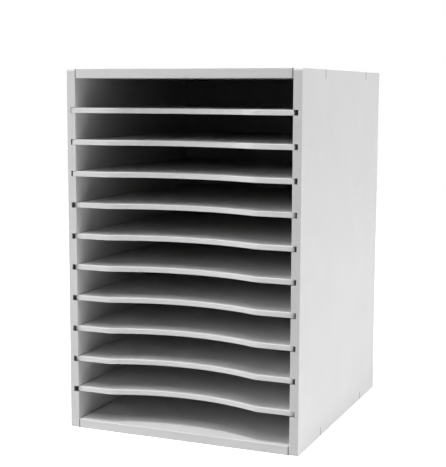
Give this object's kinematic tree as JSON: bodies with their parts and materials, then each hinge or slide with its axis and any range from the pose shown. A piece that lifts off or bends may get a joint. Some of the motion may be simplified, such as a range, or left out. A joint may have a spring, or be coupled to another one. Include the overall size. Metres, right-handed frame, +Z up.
{
  "type": "literature organizer",
  "caption": "Open-fronted upright cabinet for papers, divided by thin loose shelves that slide in side grooves, each with a shallow finger arc in its front edge.",
  "frame": {"origin": "middle of the underside, on the surface that the cabinet stands on", "axes": "+X to the right seen from the open front, +Y to the back, +Z up"},
  "size_m": [0.27, 0.3, 0.4],
  "materials": {
    "painted_board": "fibreboard with satin white paint, edges eased",
    "painted_shelf": "thin fibreboard with satin white paint, edges eased",
    "back_board": "thin fibreboard, painted like the boards",
    "dowel_wood": "bare beech"
  },
  "bodies": {
    "cabinet": {"left_side_panel": "painted_board", "right_side_panel": "painted_board", "top_panel": "painted_board", "bottom_panel": "painted_board", "back_panel": "back_board", "dowel_top_left_front": "dowel_wood", "dowel_top_left_rear": "dowel_wood", "dowel_top_right_front": "dowel_wood", "dowel_top_right_rear": "dowel_wood", "dowel_bottom_left_front": "dowel_wood", "dowel_bottom_left_rear": "dowel_wood", "dowel_bottom_right_front": "dowel_wood", "dowel_bottom_right_rear": "dowel_wood"},
    "shelf_01": {"shelf_01": "painted_shelf"},
    "shelf_02": {"shelf_02": "painted_shelf"},
    "shelf_03": {"shelf_03": "painted_shelf"},
    "shelf_04": {"shelf_04": "painted_shelf"},
    "shelf_05": {"shelf_05": "painted_shelf"},
    "shelf_06": {"shelf_06": "painted_shelf"},
    "shelf_07": {"shelf_07": "painted_shelf"},
    "shelf_08": {"shelf_08": "painted_shelf"},
    "shelf_09": {"shelf_09": "painted_shelf"},
    "shelf_10": {"shelf_10": "painted_shelf"}
  },
  "joints": [
    {"name": "shelf_01_slide", "type": "slide", "parent": "cabinet", "child": "shelf_01", "axis": [0, -1, 0], "range_m": [-0.00287, 0.295]},
    {"name": "shelf_02_slide", "type": "slide", "parent": "cabinet", "child": "shelf_02", "axis": [0, -1, 0], "range_m": [-0.00287, 0.295]},
    {"name": "shelf_03_slide", "type": "slide", "parent": "cabinet", "child": "shelf_03", "axis": [0, -1, 0], "range_m": [-0.00287, 0.295]},
    {"name": "shelf_04_slide", "type": "slide", "parent": "cabinet", "child": "shelf_04", "axis": [0, -1, 0], "range_m": [-0.0004, 0.295]},
    {"name": "shelf_05_slide", "type": "slide", "parent": "cabinet", "child": "shelf_05", "axis": [0, -1, 0], "range_m": [-0.0004, 0.295]},
    {"name": "shelf_06_slide", "type": "slide", "parent": "cabinet", "child": "shelf_06", "axis": [0, -1, 0], "range_m": [-0.0004, 0.295]},
    {"name": "shelf_07_slide", "type": "slide", "parent": "cabinet", "child": "shelf_07", "axis": [0, -1, 0], "range_m": [-0.0004, 0.295]},
    {"name": "shelf_08_slide", "type": "slide", "parent": "cabinet", "child": "shelf_08", "axis": [0, -1, 0], "range_m": [-0.0004, 0.295]},
    {"name": "shelf_09_slide", "type": "slide", "parent": "cabinet", "child": "shelf_09", "axis": [0, -1, 0], "range_m": [-0.0004, 0.295]},
    {"name": "shelf_10_slide", "type": "slide", "parent": "cabinet", "child": "shelf_10", "axis": [0, -1, 0], "range_m": [-0.0004, 0.295]}
  ]
}
